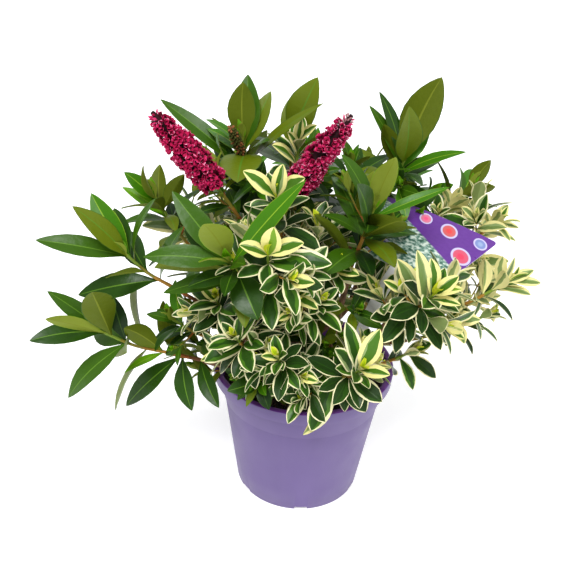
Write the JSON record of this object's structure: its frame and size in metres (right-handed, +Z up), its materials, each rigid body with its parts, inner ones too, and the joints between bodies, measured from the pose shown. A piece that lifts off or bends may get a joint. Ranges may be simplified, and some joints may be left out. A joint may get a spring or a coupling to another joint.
{
  "type": "potted hebe shrub",
  "caption": "Bushy flowering shrub with glossy green and cream-edged leaves and crimson flower spikes, growing in a round purple nursery pot with a plant label.",
  "frame": {"origin": "middle of the pot's flat underside", "axes": "+Z up, -Y towards the front of the plant, +X to the right seen from the front"},
  "size_m": [0.4617, 0.3584, 0.4576],
  "materials": {
    "pot": "satin",
    "soil": "matte",
    "label": "gloss",
    "bark": "matte",
    "green_leaf": "satin",
    "cream_leaf": "satin",
    "blossom": "matte"
  },
  "bodies": {
    "root": {"pot": "pot", "soil": "soil", "plant_label": "label", "trunk": "bark", "bough_left_low": "bark", "bough_left_middle": "bark", "bough_left_up": "bark", "bough_top_left": "bark", "bough_top_right": "bark", "bough_right_up": "bark", "bough_right_front": "bark", "bough_right_low": "bark", "bough_front": "bark", "bough_front_left": "bark", "bough_front_right": "bark", "bough_back_left": "bark", "bough_back": "bark", "bough_back_right": "bark", "leaves_left_low": "green_leaf", "leaves_left_near": "green_leaf", "leaves_left_middle": "green_leaf", "leaves_left_inner": "cream_leaf", "leaves_left_high": "green_leaf", "leaves_left_back": "cream_leaf", "spike_left": "blossom", "leaves_centre_left": "green_leaf", "leaves_top_left": "green_leaf", "leaves_top_middle": "green_leaf", "leaves_top_back": "cream_leaf", "leaves_top_right": "green_leaf", "leaves_top_inner": "green_leaf", "leaves_right_up": "cream_leaf", "leaves_right_high": "cream_leaf", "leaves_right_back": "green_leaf", "leaves_right_middle": "green_leaf", "leaves_centre_right": "cream_leaf", "leaves_right_front": "cream_leaf", "leaves_far_right": "cream_leaf", "leaves_right_low": "cream_leaf", "leaves_centre": "cream_leaf", "leaves_upper_centre": "cream_leaf", "spike_right": "blossom", "leaves_middle": "cream_leaf", "leaves_low_left": "cream_leaf", "leaves_front_low": "green_leaf", "leaves_low_middle": "cream_leaf", "leaves_low_right": "cream_leaf", "leaves_rim_right": "cream_leaf", "leaves_back_left_low": "cream_leaf", "leaves_back_left_high": "green_leaf", "leaves_back_low": "cream_leaf", "leaves_back_low_right": "cream_leaf", "leaves_back_high": "green_leaf", "leaves_back_right_low": "cream_leaf", "leaves_back_right_high": "green_leaf"}
  },
  "joints": []
}
